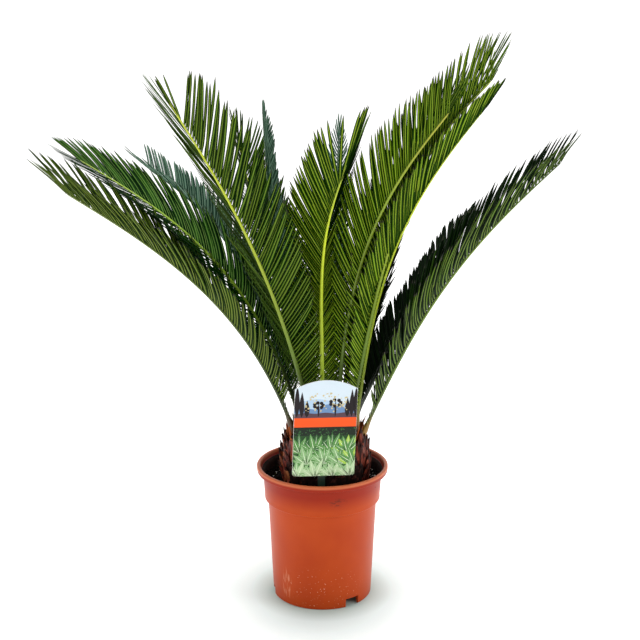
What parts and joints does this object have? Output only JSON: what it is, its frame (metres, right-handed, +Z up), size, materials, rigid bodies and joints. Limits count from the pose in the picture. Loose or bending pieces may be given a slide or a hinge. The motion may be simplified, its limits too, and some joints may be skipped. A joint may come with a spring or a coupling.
{
  "type": "potted sago palm",
  "caption": "Young sago palm (Cycas revoluta) in a round terracotta plastic pot: squat scaly trunk, spreading crown of stiff feather-shaped fronds, plant label on a stake.",
  "frame": {"origin": "The middle of the flat underside of the pot, at floor level.", "axes": "+Z up, -Y towards the side that carries the plant label, +X to the right of someone facing the label."},
  "size_m": [0.661, 0.462, 0.7282],
  "materials": {
    "terracotta_plastic": "satin injection-moulded plastic",
    "potting_soil": "loose dark peat with white perlite grains",
    "scaly_bark": "rough overlapping leaf bases",
    "printed_card": "coated card, semi-gloss",
    "stake_plastic": "dark plastic",
    "frond_leaf": "stiff leathery leaf, semi-gloss"
  },
  "bodies": {
    "root": {"pot": "terracotta_plastic", "soil": "potting_soil", "trunk": "scaly_bark", "label_card": "printed_card", "label_stake": "stake_plastic", "frond_01": "frond_leaf", "frond_02": "frond_leaf", "frond_03": "frond_leaf", "frond_04": "frond_leaf", "frond_05": "frond_leaf", "frond_06": "frond_leaf", "frond_07": "frond_leaf", "frond_08": "frond_leaf", "frond_09": "frond_leaf", "frond_10": "frond_leaf", "frond_11": "frond_leaf", "frond_12": "frond_leaf", "frond_13": "frond_leaf", "frond_14": "frond_leaf", "frond_15": "frond_leaf", "frond_16": "frond_leaf"}
  },
  "joints": []
}
